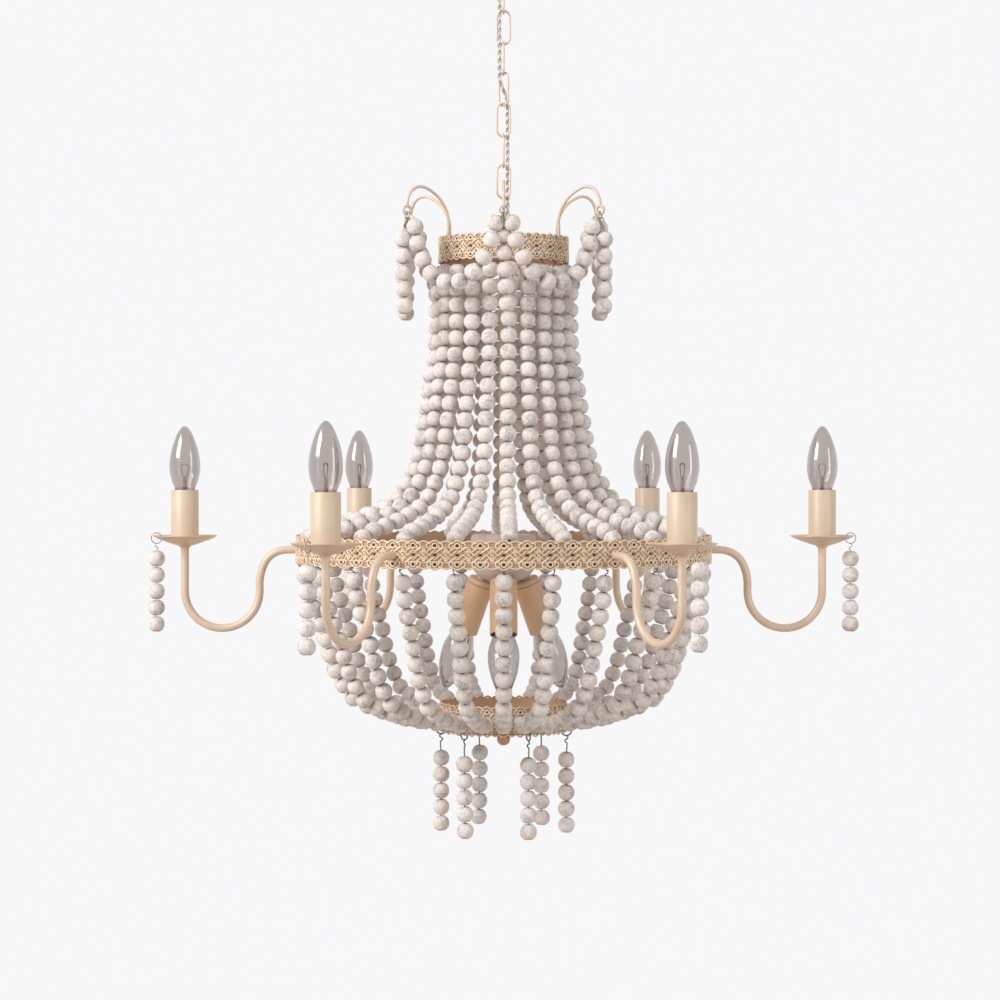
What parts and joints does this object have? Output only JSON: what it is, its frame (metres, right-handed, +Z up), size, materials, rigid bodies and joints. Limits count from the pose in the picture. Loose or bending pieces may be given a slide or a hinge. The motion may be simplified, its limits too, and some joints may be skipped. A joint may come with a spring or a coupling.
{
  "type": "beaded chandelier",
  "caption": "Beaded chandelier: a bell and basket of strung wooden beads on pierced metal rings, with upturned candle arms and lamps inside, hung by a chain with its flex.",
  "frame": {"origin": "middle of the ceiling bracket's face that lies on the ceiling", "axes": "+Z up, out of the bracket into the ceiling; the chandelier hangs down -Z; +X to the right seen from the front; -Y towards the viewer"},
  "size_m": [0.7982, 0.6942, 1.0198],
  "materials": {
    "paint": "distressed cream paint, satin",
    "filigree": "distressed cream paint over tan metal, satin",
    "sleeve_paint": "cream paint, satin",
    "wood": "whitewashed, matt",
    "copper": "copper tone, satin",
    "flex_skin": "clear skin over silvery twisted cores",
    "glass": "clear"
  },
  "bodies": {
    "ceiling": {"ceiling_hanger": "paint", "ceiling_rose": "paint", "flex": "flex_skin"},
    "link_1": {"chain_link_1": "paint"},
    "link_2": {"chain_link_2": "paint"},
    "link_3": {"chain_link_3": "paint"},
    "link_4": {"chain_link_4": "paint"},
    "link_5": {"chain_link_5": "paint"},
    "link_6": {"chain_link_6": "paint"},
    "link_7": {"chain_link_7": "paint"},
    "fixture": {"stem": "paint", "crown": "filigree", "crown_garland": "wood", "bell_strands_1": "wood", "bell_strands_2": "wood", "bell_strands_3": "wood", "main_ring": "filigree", "hub": "paint", "inner_sleeve_1": "sleeve_paint", "inner_sleeve_2": "sleeve_paint", "inner_sleeve_3": "sleeve_paint", "candle_arm_1": "paint", "candle_arm_2": "paint", "candle_arm_3": "paint", "candle_arm_4": "paint", "candle_arm_5": "paint", "candle_arm_6": "paint", "candle_sleeve_1": "sleeve_paint", "candle_sleeve_2": "sleeve_paint", "candle_sleeve_3": "sleeve_paint", "candle_sleeve_4": "sleeve_paint", "candle_sleeve_5": "sleeve_paint", "candle_sleeve_6": "sleeve_paint", "basket_strands_1": "wood", "basket_strands_2": "wood", "basket_strands_3": "wood", "bottom_ring": "filigree", "finial": "copper"},
    "bulb_1": {"candle_bulb_1": "glass"},
    "bulb_2": {"candle_bulb_2": "glass"},
    "bulb_3": {"candle_bulb_3": "glass"},
    "bulb_4": {"candle_bulb_4": "glass"},
    "bulb_5": {"candle_bulb_5": "glass"},
    "bulb_6": {"candle_bulb_6": "glass"},
    "inner_lamp_1": {"inner_bulb_1": "glass"},
    "inner_lamp_2": {"inner_bulb_2": "glass"},
    "inner_lamp_3": {"inner_bulb_3": "glass"},
    "side_drop_1": {"arm_drop_1": "wood"},
    "side_drop_2": {"arm_drop_2": "wood"},
    "side_drop_3": {"arm_drop_3": "wood"},
    "side_drop_4": {"arm_drop_4": "wood"},
    "side_drop_5": {"arm_drop_5": "wood"},
    "side_drop_6": {"arm_drop_6": "wood"},
    "low_drop_1": {"bottom_drop_1": "wood"},
    "low_drop_2": {"bottom_drop_2": "wood"},
    "low_drop_3": {"bottom_drop_3": "wood"},
    "low_drop_4": {"bottom_drop_4": "wood"},
    "low_drop_5": {"bottom_drop_5": "wood"},
    "low_drop_6": {"bottom_drop_6": "wood"}
  },
  "joints": [
    {"name": "link_1_swing", "type": "hinge", "parent": "ceiling", "child": "link_1", "pos_m": [0, 0, -0.0657], "axis": [1, 0, 0], "range_deg": [-12, 12], "deforming": ["flex"]},
    {"name": "link_2_swing", "type": "hinge", "parent": "link_1", "child": "link_2", "pos_m": [0, 0, -0.0997], "axis": [0, 1, 0], "range_deg": [-12, 12], "deforming": ["flex"]},
    {"name": "link_3_swing", "type": "hinge", "parent": "link_2", "child": "link_3", "pos_m": [0, 0, -0.1342], "axis": [1, 0, 0], "range_deg": [-12, 12], "deforming": ["flex"]},
    {"name": "link_4_swing", "type": "hinge", "parent": "link_3", "child": "link_4", "pos_m": [0, 0, -0.1687], "axis": [0, 1, 0], "range_deg": [-12, 12], "deforming": ["flex"]},
    {"name": "link_5_swing", "type": "hinge", "parent": "link_4", "child": "link_5", "pos_m": [0, 0, -0.2032], "axis": [-0.7071, 0.7071, 0], "range_deg": [-12, 12], "deforming": ["flex"]},
    {"name": "link_6_swing", "type": "hinge", "parent": "link_5", "child": "link_6", "pos_m": [0, 0, -0.2377], "axis": [1, 0, 0], "range_deg": [-12, 12], "deforming": ["flex"]},
    {"name": "link_7_swing", "type": "hinge", "parent": "link_6", "child": "link_7", "pos_m": [0, 0, -0.2722], "axis": [0, 1, 0], "range_deg": [-12, 12], "deforming": ["flex"]},
    {"name": "fixture_swing", "type": "hinge", "parent": "link_7", "child": "fixture", "pos_m": [0, 0, -0.3067], "axis": [1, 0, 0], "range_deg": [-12, 12], "deforming": ["flex"]},
    {"name": "arm_drop_1_swing", "type": "hinge", "parent": "fixture", "child": "side_drop_1", "pos_m": [0.3904, 0, -0.6886], "axis": [0, -1, 0], "range_deg": [-10, 35]},
    {"name": "arm_drop_2_swing", "type": "hinge", "parent": "fixture", "child": "side_drop_2", "pos_m": [0.1952, 0.3381, -0.6886], "axis": [0.866, -0.5, 0], "range_deg": [-10, 35]},
    {"name": "arm_drop_3_swing", "type": "hinge", "parent": "fixture", "child": "side_drop_3", "pos_m": [-0.1952, 0.3381, -0.6886], "axis": [0.866, 0.5, 0], "range_deg": [-10, 35]},
    {"name": "arm_drop_4_swing", "type": "hinge", "parent": "fixture", "child": "side_drop_4", "pos_m": [-0.3904, 0, -0.6886], "axis": [0, 1, 0], "range_deg": [-10, 35]},
    {"name": "arm_drop_5_swing", "type": "hinge", "parent": "fixture", "child": "side_drop_5", "pos_m": [-0.1952, -0.3381, -0.6886], "axis": [-0.866, 0.5, 0], "range_deg": [-10, 35]},
    {"name": "arm_drop_6_swing", "type": "hinge", "parent": "fixture", "child": "side_drop_6", "pos_m": [0.1952, -0.3381, -0.6886], "axis": [-0.866, -0.5, 0], "range_deg": [-10, 35]},
    {"name": "bottom_drop_1_swing", "type": "hinge", "parent": "fixture", "child": "low_drop_1", "pos_m": [0.07039, -0.00927, -0.904], "axis": [-0.1305, -0.9914, 0], "range_deg": [-20, 45]},
    {"name": "bottom_drop_2_swing", "type": "hinge", "parent": "fixture", "child": "low_drop_2", "pos_m": [0.04322, 0.05633, -0.904], "axis": [0.7934, -0.6088, 0], "range_deg": [-20, 45]},
    {"name": "bottom_drop_3_swing", "type": "hinge", "parent": "fixture", "child": "low_drop_3", "pos_m": [-0.02717, 0.0656, -0.904], "axis": [0.9239, 0.3827, 0], "range_deg": [-20, 45]},
    {"name": "bottom_drop_4_swing", "type": "hinge", "parent": "fixture", "child": "low_drop_4", "pos_m": [-0.07039, 0.00927, -0.904], "axis": [0.1305, 0.9914, 0], "range_deg": [-20, 45]},
    {"name": "bottom_drop_5_swing", "type": "hinge", "parent": "fixture", "child": "low_drop_5", "pos_m": [-0.04322, -0.05633, -0.904], "axis": [-0.7934, 0.6088, 0], "range_deg": [-20, 45]},
    {"name": "bottom_drop_6_swing", "type": "hinge", "parent": "fixture", "child": "low_drop_6", "pos_m": [0.02717, -0.0656, -0.904], "axis": [-0.9239, -0.3827, 0], "range_deg": [-20, 45]},
    {"name": "candle_bulb_1_screw", "type": "hinge", "parent": "fixture", "child": "bulb_1", "pos_m": [0.3584, 0, -0.66], "axis": [0, 0, 1], "range_deg": [0, 1080]},
    {"name": "candle_bulb_2_screw", "type": "hinge", "parent": "fixture", "child": "bulb_2", "pos_m": [0.1792, 0.31038, -0.66], "axis": [0, 0, 1], "range_deg": [0, 1080]},
    {"name": "candle_bulb_3_screw", "type": "hinge", "parent": "fixture", "child": "bulb_3", "pos_m": [-0.1792, 0.31038, -0.66], "axis": [0, 0, 1], "range_deg": [0, 1080]},
    {"name": "candle_bulb_4_screw", "type": "hinge", "parent": "fixture", "child": "bulb_4", "pos_m": [-0.3584, 0, -0.66], "axis": [0, 0, 1], "range_deg": [0, 1080]},
    {"name": "candle_bulb_5_screw", "type": "hinge", "parent": "fixture", "child": "bulb_5", "pos_m": [-0.1792, -0.31038, -0.66], "axis": [0, 0, 1], "range_deg": [0, 1080]},
    {"name": "candle_bulb_6_screw", "type": "hinge", "parent": "fixture", "child": "bulb_6", "pos_m": [0.1792, -0.31038, -0.66], "axis": [0, 0, 1], "range_deg": [0, 1080]},
    {"name": "inner_bulb_1_screw", "type": "hinge", "parent": "fixture", "child": "inner_lamp_1", "pos_m": [0.02598, 0.015, -0.741], "axis": [0.3244, 0.1873, -0.9272], "range_deg": [0, 1080]},
    {"name": "inner_bulb_2_screw", "type": "hinge", "parent": "fixture", "child": "inner_lamp_2", "pos_m": [-0.02598, 0.015, -0.741], "axis": [-0.3244, 0.1873, -0.9272], "range_deg": [0, 1080]},
    {"name": "inner_bulb_3_screw", "type": "hinge", "parent": "fixture", "child": "inner_lamp_3", "pos_m": [0, -0.03, -0.741], "axis": [0, -0.3746, -0.9272], "range_deg": [0, 1080]}
  ]
}
